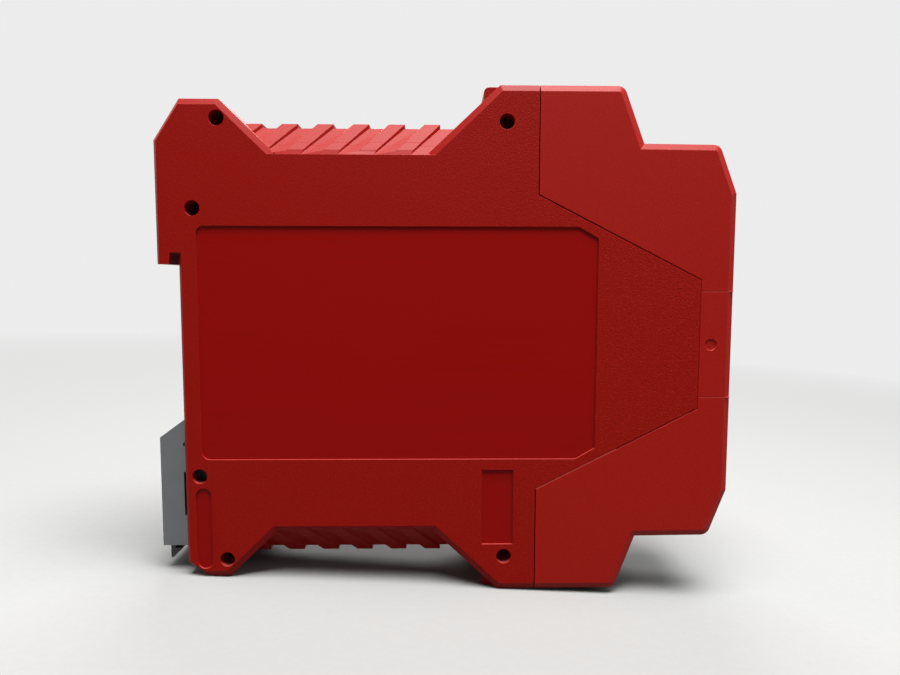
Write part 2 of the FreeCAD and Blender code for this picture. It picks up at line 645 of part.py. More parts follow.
def clamp(y):
    """Clamp cage round the wire, with the fork that grips the header's pin."""
    x, w, z = CAGE_LENGTH / 2, CAGE_WIDTH / 2, CAGE_HEIGHT / 2
    cage = block(FUNNEL_X - x, FUNNEL_X + x, y - w, y + w, SCREW_Z - z, SCREW_Z + z)
    room = block(FUNNEL_X - x + CAGE_WALL, FUNNEL_X + x - CAGE_WALL, y - w + CAGE_WALL, y + w - CAGE_WALL,
                 SCREW_Z - z + CAGE_WALL, SCREW_Z + z)
    thread = few_sided_rod((FUNNEL_X, y, SCREW_Z), vec(0, 1, 0), vec(x + CAGE_WALL, 0, 0),
                           SCREW_RADIUS + SCREW_PLAY, SCREW_SIDES)
    side, gap = PIN / 2 + PIN_GAP, PIN / 2 + PIN_GAP
    back = FORK_SETBACK - PLUG_LENGTH
    blade = block(back, FUNNEL_X - x, y - side, y + side, SCREW_Z + gap, SCREW_Z + gap + FORK_BLADE)
    lower = block(back, FUNNEL_X - x, y - side, y + side, SCREW_Z - gap - FORK_BLADE, SCREW_Z - gap)
    return cage.cut([room, thread]).fuse([blade, lower])


def screw(y):
    """Headless clamp screw, slotted, through the front wall of its cage."""
    back = FUNNEL_X + CAGE_LENGTH / 2 - 2 * CAGE_WALL
    front = back + SCREW_LENGTH
    body = few_sided_rod((back, y, SCREW_Z), vec(0, 1, 0), vec(SCREW_LENGTH, 0, 0), SCREW_RADIUS, SCREW_SIDES)
    slot = block(front - SCREW_SLOT, front, y - SCREW_RADIUS, y + SCREW_RADIUS,
                 SCREW_Z - SCREW_SLOT / 2, SCREW_Z + SCREW_SLOT / 2)
    return body.cut(slot)


def header():
    """Header block with its pin holes."""
    back, half = HEADER_BACK, HEADER_HEIGHT / 2
    width = INNER - CAGE_GAP
    body = block(back, back + HEADER_DEPTH, -width, width, SCREW_Z - half, SCREW_Z + half)
    return body.cut([header_pin(y) for y in POLE_PLACES])


def header_pin(y):
    """Square pin from behind the riser board into the plug."""
    back, half = PIN_BACK, PIN / 2
    tip = FUNNEL_X - CAGE_LENGTH / 2 - PIN_STOP
    return block(back, tip, y - half, y + half, SCREW_Z - half, SCREW_Z + half)


def riser_board():
    """Small upright board that the header is soldered to."""
    back, half = HEADER_BACK - RISER, HEADER_HEIGHT / 2
    width = INNER - CAGE_GAP
    body = block(back, back + RISER, -width, width, SCREW_Z - half, SCREW_Z + half)
    return body.cut([header_pin(y) for y in POLE_PLACES])


def plug_set(prefix, place, flip):
    """Every piece of one terminal: plug, screws, clamps, header, pins and riser board."""
    pieces = {
        "plug": plug_body(),
        "plug_screws": Part.makeCompound([screw(y) for y in POLE_PLACES]),
        "plug_clamps": Part.makeCompound([clamp(y) for y in POLE_PLACES]),
        "header": header(),
        "header_pins": Part.makeCompound([header_pin(y) for y in POLE_PLACES]),
        "riser_board": riser_board()}
    placed = {}
    for name, shape in pieces.items():
        shape.translate(vec(place[0], 0, place[1]))
        placed[prefix + "_" + name] = mirrored_z(shape) if flip else shape
    return placed


# ---- Boards ----

def main_board():
    """Main board beside the far wall, cut to the housing and reaching forward to the riser boards."""
    rear = POCKET_DEPTH + WALL + BOARD_EDGE_GAP
    half = VENT_Z - WALL - BOARD_EDGE_GAP
    outer_x = OUTER_PLUG[0] + HEADER_BACK - RISER
    inner_x = INNER_PLUG[0] + HEADER_BACK - RISER
    low = OUTER_PLUG[1] + SCREW_Z - HEADER_HEIGHT / 2
    nose = INDICATOR_BOARD_X
    tongue = INSERT_HEIGHT / 2 - BOARD_EDGE_GAP
    tower_x = TOWER_BACK_X + WALL + BOARD_EDGE_GAP
    tower_top = OUTER_PLUG[1] + SCREW_Z + HEADER_HEIGHT / 2
    upper = [(rear, half), (tower_x, half), (tower_x, tower_top), (outer_x, tower_top), (outer_x, low),
             (SEAM_X, low - HEADER_HEIGHT / 2), (SEAM_X, half), (inner_x, half), (inner_x, TONGUE_Z + WALL),
             (nose, tongue)]
    lower = [(x, -z) for x, z in reversed(upper)]
    return slab(upper + lower, BOARD_Y, BOARD_Y + BOARD)


def on_board(x, z, length, height, depth):
    """Box standing on the main board, centred at x, z."""
    return block(x - length / 2, x + length / 2, BOARD_Y - depth, BOARD_Y, z - height / 2, z + height / 2)


def relay(z):
    """Sealed relay with a chamfered case."""
    case = on_board(TOWER_X - RELAY_LENGTH / 2, z, RELAY_LENGTH, RELAY_HEIGHT, RELAY_WIDTH)
    top = [e for e in case.Edges if all(abs(p.Point.y - BOARD_Y + RELAY_WIDTH) < 1e-4 for p in e.Vertexes)]
    return case.makeChamfer(CAGE_WALL, top)


def transformer():
    """Supply transformer: a core with its winding."""
    x = POCKET_DEPTH + WALL + CORE_LENGTH
    core = on_board(x, 0, CORE_LENGTH, CORE_HEIGHT, CORE_WIDTH)
    winding = on_board(x, 0, WINDING_LENGTH, CORE_HEIGHT + 2 * WINDING_REACH, CORE_WIDTH - WINDING_REACH)
    return core.fuse(winding)


def capacitors():
    """Round capacitors standing on the main board."""
    x = POCKET_DEPTH + WALL + CORE_LENGTH / 2
    z = CORE_HEIGHT / 2 + 2 * WINDING_REACH + CAPACITOR_RADIUS
    low = BOARD_Y - CAPACITOR_LENGTH
    step = 2 * CAPACITOR_RADIUS + WALL
    pair = [few_sided_rod((x + i * step, low, z), vec(1, 0, 0), vec(0, CAPACITOR_LENGTH, 0),
                          CAPACITOR_RADIUS, CAPACITOR_SIDES) for i in range(2)]
    return both_z(pair)


def chips():
    """Two controllers that check each other."""
    x = SEAM_X + CHIP_LENGTH
    return both_z([on_board(x, CHIP_LENGTH / 2 + CHIP_WIDTH, CHIP_LENGTH, CHIP_WIDTH, CHIP_THICKNESS)])


def indicator_board():
    """Small board across the nose, in front of the main board's edge."""
    half, width = INSERT_HEIGHT / 2 - BOARD_EDGE_GAP, INNER - CAGE_GAP
    return block(INDICATOR_BOARD_X, INDICATOR_BOARD_X + BOARD, -width, width, -half, half)


def leds():
    """Indicator lamps behind the light guides."""
    front = INDICATOR_BOARD_X + BOARD
    rows = [(i - (WINDOW_COUNT - 1) / 2) * WINDOW_PITCH for i in range(WINDOW_COUNT)]
    half = WINDOW_HEIGHT / 2
    return [block(front, front + LED_THICKNESS, -half, half, row - half, row + half) for row in rows]


# ---- Foot catch ----

def catch_outline():
    return [(CATCH_BACK_X, CATCH_BOTTOM_Z), (CATCH_BACK_X, CATCH_SHOULDER_Z), (0, CATCH_TOP_Z),
            (CATCH_FRONT_X, CATCH_TOP_Z), (CATCH_FRONT_X, CATCH_BOTTOM_Z)]


def foot_catch():
    """Folded steel channel, open to the front, with a window and a notch in each flange."""
    half = INNER - CATCH_GAP
    inside = half - CATCH_SHEET
    channel = slab(catch_outline(), -half, half)
    room = block(CATCH_BACK_X + CATCH_SHEET, CATCH_FRONT_X, -inside, inside, CATCH_BOTTOM_Z, CATCH_TOP_Z)
    top = block(CATCH_BACK_X, CATCH_FRONT_X, -inside, inside, CATCH_SHOULDER_Z, CATCH_TOP_Z)
    low = CATCH_BOTTOM_Z + CATCH_WINDOW_RISE
    window = block(-CATCH_WINDOW, CATCH_WINDOW, -half, half, low, low + CATCH_WINDOW_LENGTH)
    notch = rod((CATCH_NOTCH_RADIUS - CATCH_WINDOW, -half, CATCH_TOP_Z - CATCH_NOTCH_DROP), (0, 1, 0),
                CATCH_NOTCH_RADIUS, 2 * half)
    return channel.cut([room, top, window, notch])


def catch_slider():
    """Black slider inside the catch, with rail grooves, a spring bore and a claw for a screwdriver."""
    gap = SLIDER_GAP
    half = INNER - CATCH_GAP - CATCH_SHEET - gap
    back = CATCH_BACK_X + CATCH_SHEET
    body = block(back, POCKET_DEPTH - gap, -half, half, SLIDER_BOTTOM_Z, SLIDER_TOP_Z)
    shelf = CATCH_BOTTOM_Z - CLAW_THICKNESS
    leg = slab([(back, SLIDER_BOTTOM_Z), (back, CLAW_BOTTOM_Z), (back + CLAW_THICKNESS / 2, CLAW_BOTTOM_Z),
                (back + CLAW_REACH, shelf), (back + CLAW_THICKNESS, shelf),
                (back + CLAW_THICKNESS, SLIDER_BOTTOM_Z)], -half, half)
    rail_back = POCKET_DEPTH - RAIL_REACH
    groove = block(rail_back - gap, rail_back + RAIL_HEAD_THICKNESS + gap,
                   RAIL_Y - gap, RAIL_Y + RAIL_HEAD + gap, SLIDER_BOTTOM_Z, SLIDER_TOP_Z)
    neck = block(rail_back, POCKET_DEPTH, RAIL_Y - gap, RAIL_Y + RAIL_NECK + gap,
                 SLIDER_BOTTOM_Z, SLIDER_TOP_Z)
    depth = spring_length() + LEDGE_TOP_Z - SLIDER_BOTTOM_Z
    bore = rod((SPRING_X, 0, SLIDER_BOTTOM_Z), (0, 0, 1), SPRING_BORE, depth)
    return body.fuse(leg).cut([groove, neck, mirrored_y(groove), mirrored_y(neck), bore])


def spring_length():
    """Spring from the ledge into the slider's bore."""
    return (SLIDER_TOP_Z - SLIDER_BOTTOM_Z) / 2 + SLIDER_BOTTOM_Z - LEDGE_TOP_Z


def catch_spring():
    """Coil spring: square wire along straight steps round its coils."""
    rise = spring_length() - 2 * SPRING_WIRE
    count = SPRING_COILS * SPRING_STEPS
    path = []
    for i in range(count + 1):
        turn = 2 * math.pi * i / SPRING_STEPS
        path.append(vec(SPRING_RADIUS * math.cos(turn), SPRING_RADIUS * math.sin(turn), rise * i / count))
    along = (path[1] - path[0]).normalize()
    across = vec(1, 0, 0)
    up = along.cross(across).normalize()
    half = SPRING_WIRE / 2
    ring = [path[0] + across * a + up * b for a, b in ((half, 0), (0, half), (-half, 0), (0, -half))]
    coil = Part.Wire(Part.makePolygon(path).Edges)
    coil = coil.makePipeShell([Part.makePolygon(ring + ring[:1])], True, False, 1)
    coil.translate(vec(SPRING_X, 0, LEDGE_TOP_Z + SPRING_WIRE))
    return coil


def build():
    """Every node with its shape."""
    side_plate, rear_housing = split_rear_body()
    nodes = {
        "side_plate": side_plate,
        "rear_housing": rear_housing,
        "front_cover": front_cover(),
        "front_insert": front_insert(),
        "light_guides": Part.makeCompound(windows(0)),
        "main_board": main_board(),
        "relay_upper": relay(CORE_HEIGHT),
        "relay_lower": relay(-CORE_HEIGHT),
        "transformer": transformer(),
        "capacitors": Part.makeCompound(capacitors()),
        "controller_chips": Part.makeCompound(chips()),
        "indicator_board": indicator_board(),
        "indicator_lamps": Part.makeCompound(leds()),
        "foot_catch": foot_catch(),
        "catch_slider": catch_slider(),
        "catch_spring": catch_spring()}
    for prefix, place, flip in (("upper_outer", OUTER_PLUG, False), ("upper_inner", INNER_PLUG, False),
                                ("lower_inner", INNER_PLUG, True), ("lower_outer", OUTER_PLUG, True)):
        nodes.update(plug_set(prefix, place, flip))
    return nodes


def main():
    os.makedirs("parts", exist_ok=True)
    for name, shape in build().items():
        if not shape.isValid():
            raise ValueError(name + " is not a valid shape")
        shape.exportStep("parts/" + name + ".step")
        print(name, "solids", len(shape.Solids), "volume", round(shape.Volume, 1))


main()
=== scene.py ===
"""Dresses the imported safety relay: moulded red housing, plated catch, terminals and soft studio light."""
import math

import bmesh
import bpy
from mathutils import Matrix, Vector

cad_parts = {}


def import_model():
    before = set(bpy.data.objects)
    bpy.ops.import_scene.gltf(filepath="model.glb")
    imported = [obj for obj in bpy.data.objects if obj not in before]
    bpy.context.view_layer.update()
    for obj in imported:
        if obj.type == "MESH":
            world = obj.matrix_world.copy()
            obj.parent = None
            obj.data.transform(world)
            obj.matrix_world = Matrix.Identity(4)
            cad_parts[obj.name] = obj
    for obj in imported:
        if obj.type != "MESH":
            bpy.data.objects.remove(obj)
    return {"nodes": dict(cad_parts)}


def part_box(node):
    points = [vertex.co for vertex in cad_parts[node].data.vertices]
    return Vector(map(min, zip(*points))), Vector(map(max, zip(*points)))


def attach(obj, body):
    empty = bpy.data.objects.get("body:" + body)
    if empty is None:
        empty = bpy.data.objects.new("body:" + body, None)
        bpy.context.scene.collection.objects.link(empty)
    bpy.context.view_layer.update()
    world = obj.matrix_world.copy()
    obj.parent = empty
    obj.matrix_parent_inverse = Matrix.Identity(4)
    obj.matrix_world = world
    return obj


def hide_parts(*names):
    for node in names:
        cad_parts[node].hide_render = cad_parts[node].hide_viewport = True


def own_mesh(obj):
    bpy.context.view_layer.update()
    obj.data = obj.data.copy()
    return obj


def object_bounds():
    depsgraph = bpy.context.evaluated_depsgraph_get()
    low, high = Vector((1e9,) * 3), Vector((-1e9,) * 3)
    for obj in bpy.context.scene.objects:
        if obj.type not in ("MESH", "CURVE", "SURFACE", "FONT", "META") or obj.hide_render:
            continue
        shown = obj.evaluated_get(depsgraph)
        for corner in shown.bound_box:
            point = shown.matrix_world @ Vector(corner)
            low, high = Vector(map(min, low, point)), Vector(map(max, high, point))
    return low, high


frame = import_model()
CAD_BOX = [list(corner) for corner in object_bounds()]

MM = 0.001
SIDE_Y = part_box("side_plate")[0].y      # outer face of the side plate
FOOT_Z = CAD_BOX[0][2]                  # lower faces of the main feet


# ---- Node helpers ----

class Nodes:
    """A node tree, with short calls for the nodes used here."""

    def __init__(self, tree):
        self.tree = tree

    def node(self, kind, **settings):
        made = self.tree.nodes.new(kind)
        for key, value in settings.items():
            setattr(made, key, value)
        return made

    def link(self, source, target):
        if isinstance(source, (int, float, tuple)):
            target.default_value = source
        else:
            self.tree.links.new(source, target)

    def split(self, vector):
        """The X, Y and Z of a vector."""
        parts = self.node("ShaderNodeSeparateXYZ")
        self.link(vector, parts.inputs[0])
        return parts.outputs

    def math(self, operation, first, second=0.0):
        made = self.node("ShaderNodeMath", operation=operation)
        self.link(first, made.inputs[0])
        self.link(second, made.inputs[1])
        return made.outputs[0]

    def seen(self):
        """1 for what the camera sees, directly or in gloss and glass; 0 for diffuse light."""
        rays = self.node("ShaderNodeLightPath").outputs
        shown = self.math("MAXIMUM", rays["Is Glossy Ray"], rays["Is Transmission Ray"])
        return self.math("MAXIMUM", rays["Is Camera Ray"], shown)

    def ramp(self, value, low, high, out_low=0.0, out_high=1.0):
        made = self.node("ShaderNodeMapRange")
        for source, key in ((value, "Value"), (low, "From Min"), (high, "From Max"),
                            (out_low, "To Min"), (out_high, "To Max")):
            self.link(source, made.inputs[key])
        return made.outputs[0]

    def mix(self, factor, first, second):
        made = self.node("ShaderNodeMix", data_type="RGBA")
        self.link(factor, made.inputs[0])
        self.link(first, made.inputs[6])
        self.link(second, made.inputs[7])
        return made.outputs[2]


class Shader(Nodes):
    """A material, with its surface shader and the calls that need its place on the object."""

    def __init__(self, name):
        self.material = bpy.data.materials.new(name)
        self.material.use_nodes = True
        super().__init__(self.material.node_tree)
        self.bsdf = self.tree.nodes["Principled BSDF"]
        self.place = self.node("ShaderNodeTexCoord").outputs["Object"]

    def noise(self, size, detail=2.0, roughness=0.5, stretch=(1, 1, 1)):
        """Noise whose grain is about size metres across."""
        scale = self.node("ShaderNodeVectorMath", operation="MULTIPLY")
        self.link(self.place, scale.inputs[0])
        self.link(tuple(s / size for s in stretch), scale.inputs[1])
        made = self.node("ShaderNodeTexNoise")
        self.link(scale.outputs[0], made.inputs["Vector"])
        made.inputs["Scale"].default_value = 1.0
        made.inputs["Detail"].default_value = detail
        made.inputs["Roughness"].default_value = roughness
        return made.outputs["Fac"]

    def cells(self, size):
        """Distance to the middle of the nearest of soft cells about size metres across."""
        made = self.node("ShaderNodeTexVoronoi", feature="SMOOTH_F1")
        self.link(self.place, made.inputs["Vector"])
        made.inputs["Scale"].default_value = 1 / size
        return made.outputs["Distance"]

    def bump(self, height, distance, strength=1.0, under=None):
        made = self.node("ShaderNodeBump")
        made.inputs["Strength"].default_value = strength
        made.inputs["Distance"].default_value = distance
        self.link(height, made.inputs["Height"])
        if under is not None:
            self.link(under, made.inputs["Normal"])
        return made.outputs[0]

    def finish(self, color, roughness, normal=None, metallic=0.0, specular=0.5):
        self.link(color, self.bsdf.inputs["Base Color"])
        self.link(roughness, self.bsdf.inputs["Roughness"])
        self.bsdf.inputs["Metallic"].default_value = metallic
        self.bsdf.inputs["Specular IOR Level"].default_value = specular
        if normal is not None:
            self.link(normal, self.bsdf.inputs["Normal"])
        return self.material


def shade(rgb, factor):
    """An RGBA colour from an RGB one, made lighter or darker."""
    return tuple(min(1.0, c * factor) for c in rgb) + (1.0,)


def place_in_scene(name, data):
    obj = bpy.data.objects.new(name, data)
    bpy.context.scene.collection.objects.link(obj)
    return obj


def added(rgb, more):
    return tuple(c + d for c, d in zip(rgb, more))


# ---- Materials ----

RED = (0.255, 0.0035, 0.0010)
COVER_RED = (0.30, 0.006, 0.0025)
PANEL_RED = (0.235, 0.0010, 0.0002)
# painted highlight: pale red for lips that stand for light caught on the edges beside a joint
LIT_EDGE_RED = (0.42, 0.05, 0.04)
PAINTED_GLINT_PALE = (0.0, 0.02, 0.016)         # painted glints: what a glint on the grain adds to the red
# painted sheen on faces that look up: a pink veil that stands for the overhead light's sheen, thin and thick
PAINTED_SHEEN_THIN = (0.015, 0.032, 0.030)       # what the painted sheen adds to the red, where it is thin
PAINTED_SHEEN_THICK = (0.03, 0.048, 0.045)
SHADE_SIZE = 28 * MM                    # slow shade changes over a moulding
GRAIN = 0.30 * MM                       # spark-eroded grain of the red mouldings
SHELL_GRAIN_DEPTH = 0.05 * MM
COVER_GRAIN_DEPTH = 0.012 * MM
EDGE = 0.14 * MM                        # rounding of the mouldings' edges in their shading
SMOOTH_X, COARSE_X = 0.04, 0.095        # the grain grows coarser from the rear to the front
PANEL_DEPTHS = (0.1 * MM, 0.5 * MM)     # the recesses' floors lie between these depths
SMOOTH_ROUGHNESS, GRAIN_ROUGHNESS = 0.42, 0.56


def edge_normal(s, radius):
    """Normal that turns smoothly over every edge, and how near the edge is."""
    soft = s.node("ShaderNodeBevel", samples=6)
    soft.inputs["Radius"].default_value = radius
    dot = s.node("ShaderNodeVectorMath", operation="DOT_PRODUCT")
    s.link(soft.outputs[0], dot.inputs[0])
    s.link(s.node("ShaderNodeNewGeometry").outputs["True Normal"], dot.inputs[1])
    return soft.outputs[0], s.ramp(dot.outputs["Value"], 0.80, 1.0, 1.0, 0.0)


def moulded_red(name, rgb, grain, grain_depth, specular, recessed=False):
    """Red moulding with a leathery eroded grain on its side faces; all else is smooth, recesses too."""
    s = Shader(name)
    slow = s.noise(SHADE_SIZE, 2.0)
    fine = s.noise(grain * 0.6, 2.0, 0.6)
    hills = s.ramp(s.cells(grain), 0.0, 0.7, 1.0, 0.0)
    height = s.math("ADD", s.math("MULTIPLY", fine, 0.7), s.math("MULTIPLY", hills, 0.6))
    color = s.mix(s.ramp(height, 0.35, 0.95), shade(rgb, 0.90), shade(rgb, 1.10))
    color = s.mix(s.math("MULTIPLY", slow, 0.5), color, shade(rgb, 1.05))
    worn = s.ramp(s.split(s.place)["X"], SMOOTH_X, COARSE_X, 0.45, 1.45)
    # painted sheen: a paler pink that changes slowly between thin and thick
    painted_sheen = s.mix(slow, shade(added(rgb, PAINTED_SHEEN_THIN), 1.0), shade(added(rgb, PAINTED_SHEEN_THICK), 1.0))
    # painted glints: small pale spots in the grain, more where it is coarser, stand for light caught by the
    # grain's bumps
    glints = s.ramp(s.noise(grain * 0.8, 1.0, 0.6, stretch=(0.7, 1, 1)), 0.62, 0.72)
    glints = s.math("MULTIPLY", s.math("MULTIPLY", glints, worn), 0.32)
    color = s.mix(glints, color, shade(added(rgb, PAINTED_GLINT_PALE), 1.7))
    # painted sheen: faces that look up get the paler pink, as if they caught the overhead light
    color = s.mix(s.math("MULTIPLY", up_mask(s), 0.8), color, painted_sheen)
    normal, edge = edge_normal(s, EDGE)
    grained = side_mask(s)
    if recessed:
        smooth = panel_mask(s)
        streak = s.noise(1.1 * MM, 2.0, 0.5, stretch=(0.03, 1, 1))
        panel = s.mix(s.ramp(streak, 0.3, 0.7), shade(PANEL_RED, 0.95), shade(PANEL_RED, 1.05))
        panel = s.mix(slow, panel, shade(PANEL_RED, 1.10))
        color = s.mix(smooth, color, panel)
        grained = s.math("SUBTRACT", grained, s.math("MULTIPLY", smooth, 0.92))
    hollows = s.ramp(height, 0.35, 0.95, 1.0, 0.6)
    rough = s.ramp(s.math("MULTIPLY", grained, hollows), 0.0, 1.0, SMOOTH_ROUGHNESS, GRAIN_ROUGHNESS)
    height = s.math("MULTIPLY", height, s.math("MULTIPLY", worn, s.ramp(grained, 0.0, 1.0, 0.12, 1.0)))
    # painted highlight: every edge is made lighter, as if its rounding caught the light; partly edge wear
    color = s.mix(s.math("MULTIPLY", edge, 0.5), color, shade(rgb, 1.5))
    return s.finish(color, rough, s.bump(height, grain_depth, 1.0, normal), specular=specular)


def side_mask(s):
    """1 on faces that look to either side, 0 elsewhere."""
    facing = s.split(s.node("ShaderNodeNewGeometry").outputs["True Normal"])
    return s.math("GREATER_THAN", s.math("ABSOLUTE", facing["Y"]), 0.97)


def up_mask(s):
    """1 on faces that look up, where a painted sheen makes the red paler."""
    return s.ramp(s.split(s.node("ShaderNodeTexCoord").outputs["Normal"])["Z"], 0.4, 0.8)


def panel_mask(s):
    """1 on the floors of the side face's shallow recesses, 0 elsewhere."""
    away = s.math("ABSOLUTE", s.split(s.place)["Y"])
    below = s.math("LESS_THAN", away, abs(SIDE_Y) - PANEL_DEPTHS[0])
    near = s.math("GREATER_THAN", away, abs(SIDE_Y) - PANEL_DEPTHS[1])
    return s.math("MULTIPLY", s.math("MULTIPLY", below, near), side_mask(s))


def plain_plastic(name, rgb, grain=0.3 * MM, rough=0.5, depth=0.01 * MM, specular=0.5):
    """Engineering plastic with a fine grain and faint shade changes."""
    s = Shader(name)
    fine = s.noise(grain, 3.0, 0.6)
    color = s.mix(s.noise(9 * MM), shade(rgb, 0.85), shade(rgb, 1.15))
    color = s.mix(s.ramp(fine, 0.3, 0.7), color, shade(rgb, 1.25))
    return s.finish(color, s.ramp(fine, 0.3, 0.7, rough - 0.05, rough + 0.08), s.bump(fine, depth, 0.5),
                    specular=specular)


def rolled_steel(name, rgb, rough=0.34, stretch=(1, 1, 0.05)):
    """Plated sheet or wire with a rolling direction and cloudy plating."""
    s = Shader(name)
    streak = s.noise(0.5 * MM, 3.0, 0.6, stretch=stretch)
    cloud = s.noise(7 * MM, 3.0, 0.6)
    color = s.mix(cloud, shade(rgb, 0.86), shade(rgb, 1.14))
    color = s.mix(s.math("MULTIPLY", streak, 0.35), color, shade(rgb, 1.3))
    roughness = s.math("ADD", s.ramp(streak, 0.3, 0.7, rough, rough + 0.1), s.math("MULTIPLY", cloud, 0.06))
    return s.finish(color, roughness, s.bump(streak, 0.006 * MM, 0.5), metallic=0.85)


def circuit_board():
    """Green solder resist over copper tracks."""
    s = Shader("circuit_board")
    mesh = s.node("ShaderNodeTexBrick")
    s.link(s.place, mesh.inputs["Vector"])
    mesh.inputs["Scale"].default_value = 1 / (6 * MM)
    s.link(shade((0.02, 0.16, 0.06), 1.0), mesh.inputs["Color1"])
    s.link(shade((0.015, 0.13, 0.05), 1.0), mesh.inputs["Color2"])
    s.link(shade((0.04, 0.24, 0.10), 1.0), mesh.inputs["Mortar"])
    color = s.mix(s.noise(0.6 * MM), mesh.outputs["Color"], shade((0.01, 0.09, 0.04), 1.0))
    return s.finish(color, 0.3, s.bump(mesh.outputs["Fac"], 0.02 * MM, 0.4))


def clear_guide():
    """Milky clear light guide."""
    s = Shader("clear_guide")
    haze = s.noise(2.5 * MM, 2.0)
    s.bsdf.inputs["Transmission Weight"].default_value = 0.35
    s.bsdf.inputs["IOR"].default_value = 1.49
    color = s.mix(haze, (0.66, 0.68, 0.66, 1.0), (0.74, 0.76, 0.74, 1.0))
    return s.finish(color, s.ramp(haze, 0.3, 0.7, 0.15, 0.3))


def materials():
    """Endings of node names, each with its material."""
    shell = moulded_red("shell_red", RED, GRAIN, SHELL_GRAIN_DEPTH, 0.11, recessed=True)
    cover = moulded_red("cover_red", COVER_RED, 0.7 * GRAIN, COVER_GRAIN_DEPTH, 0.14)
    black = plain_plastic("black_plastic", (0.012, 0.012, 0.013))
    grey = plain_plastic("plug_grey", (0.045, 0.047, 0.05))
    tin = rolled_steel("tinned_metal", (0.55, 0.52, 0.45), 0.3)
    screw = rolled_steel("screw_steel", (0.5, 0.5, 0.48), 0.28, stretch=(1, 1, 1))
    board = circuit_board()
    return [
        (("side_plate", "rear_housing"), shell),
        (("front_cover", "front_insert"), cover),
        (("foot_catch",), rolled_steel("catch_steel", (0.138, 0.143, 0.150), 0.42)),
        (("catch_slider", "controller_chips", "relay_upper", "relay_lower", "_header"), black),
        (("catch_spring",), rolled_steel("spring_steel", (0.45, 0.45, 0.45), 0.3)),
        (("_plug",), grey),
        (("_plug_screws",), screw),
        (("_plug_clamps", "_header_pins"), tin),
        (("main_board", "indicator_board", "_riser_board"), board),
        (("transformer",), plain_plastic("winding_tape", (0.55, 0.35, 0.05), 0.5 * MM, 0.4)),
        (("capacitors",), rolled_steel("capacitor_can", (0.5, 0.5, 0.52), 0.35, stretch=(1, 0.05, 1))),
        (("light_guides", "indicator_lamps"), clear_guide())]


def dress_nodes():
    """Every CAD node gets its material."""
    table = materials()
    for name, obj in frame["nodes"].items():
        found = [m for ends, m in table if name.endswith(ends)]
        if not found:
            raise ValueError("no material for " + name)
        obj.data.materials.clear()
        obj.data.materials.append(found[0])


# ---- Real edges and joints ----

EDGE_WIDTHS = (
    (("side_plate", "rear_housing", "front_insert"), 0.12 * MM),
    (("front_cover",), 0.20 * MM),
    (("_plug", "foot_catch", "catch_slider"), 0.10 * MM),
    (("_plug_screws", "_plug_clamps", "main_board"), 0.05 * MM))
WELD = 0.001 * MM
FLAT_ANGLE = math.radians(1)
SHARP_ANGLE = math.radians(28)


def soften_edges():
    """A small real bevel along the sharp edges of the mouldings and the sheet metal."""
    for ends, width in EDGE_WIDTHS:
        for name, obj in frame["nodes"].items():
            if not name.endswith(ends):
                continue
            weld = obj.modifiers.new("weld", "WELD")
            weld.merge_threshold = WELD
            flat = obj.modifiers.new("flat", "DECIMATE")
            flat.decimate_type = "DISSOLVE"
            flat.angle_limit = FLAT_ANGLE
            edge = obj.modifiers.new("edge", "BEVEL")
            edge.width = width
            edge.segments = 2
            edge.limit_method = "ANGLE"
            edge.angle_limit = SHARP_ANGLE


JOINT = 0.18 * MM               # open joint between the rear housing and the cover
INSERT_JOINT = 0.08 * MM        # open joints beside the insert
SEAM_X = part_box("front_cover")[0].x - JOINT
TONGUE_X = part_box("side_plate")[1].x
FRONT_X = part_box("front_insert")[1].x
SEAM_CORNER_Z = 28.8 * MM       # where the leaning joint leaves the upright one, up and down
TONGUE_Z = 12.6 * MM            # half the height of the tongue's tip
LIP_DEPTH = 0.16 * MM           # how far a lip lies below the side face at the upper seam corner,
TIP_DEPTH = 0.07 * MM           # at the tongue's tip and below it,
FINE_DEPTH = 0.05 * MM          # and in the insert's joints
LIP_THICKNESS = 0.7 * MM
LIP_OVERLAP = 0.1 * MM          # how much wider a lip is than its joint
SHADE_START = 8 * MM            # the dark lip's painted shade gets lighter from here, behind the seam, to the tip
FRONT_SETBACK = 0.15 * MM       # the insert's lips end behind the front face


def lip(name, path, depths, width, material):
    """Closed bars along an (x, z) path, depths below each side face, so that a joint is a groove."""
    mesh = bpy.data.meshes.new(name)
    verts, faces = [], []
    for side in (-1, 1):
        start = len(verts)
        for i, (x, z) in enumerate(path):
            before = path[max(i - 1, 0)]
            after = path[min(i + 1, len(path) - 1)]
            into = Vector((x - before[0], z - before[1]))
            out = Vector((after[0] - x, after[1] - z))
            into = into.normalized() if into.length else out.normalized()
            out = out.normalized() if out.length else into
            mitre = (into + out).normalized()
            across = Vector((-mitre.y, mitre.x)) * (width / 2 / max(0.3, mitre.dot(into)))
            outer = side * (abs(SIDE_Y) - depths[i])
            inner = side * (abs(SIDE_Y) - LIP_THICKNESS)
            verts += [(x + across.x, outer, z + across.y), (x - across.x, outer, z - across.y),
                      (x - across.x, inner, z - across.y), (x + across.x, inner, z + across.y)]
        for a in range(start, len(verts) - 4, 4):
            faces += [(a + k, a + (k + 1) % 4, a + 4 + (k + 1) % 4, a + 4 + k) for k in range(4)]
        faces += [tuple(start + k for k in (3, 2, 1, 0)), tuple(len(verts) - 4 + k for k in range(4))]
    mesh.from_pydata(verts, [], faces)
    work = bmesh.new()
    work.from_mesh(mesh)
    bmesh.ops.recalc_face_normals(work, faces=work.faces)
    work.to_mesh(mesh)
    work.free()
    mesh.materials.append(material)
    obj = place_in_scene(name, mesh)
    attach(obj, "housing")
    return obj


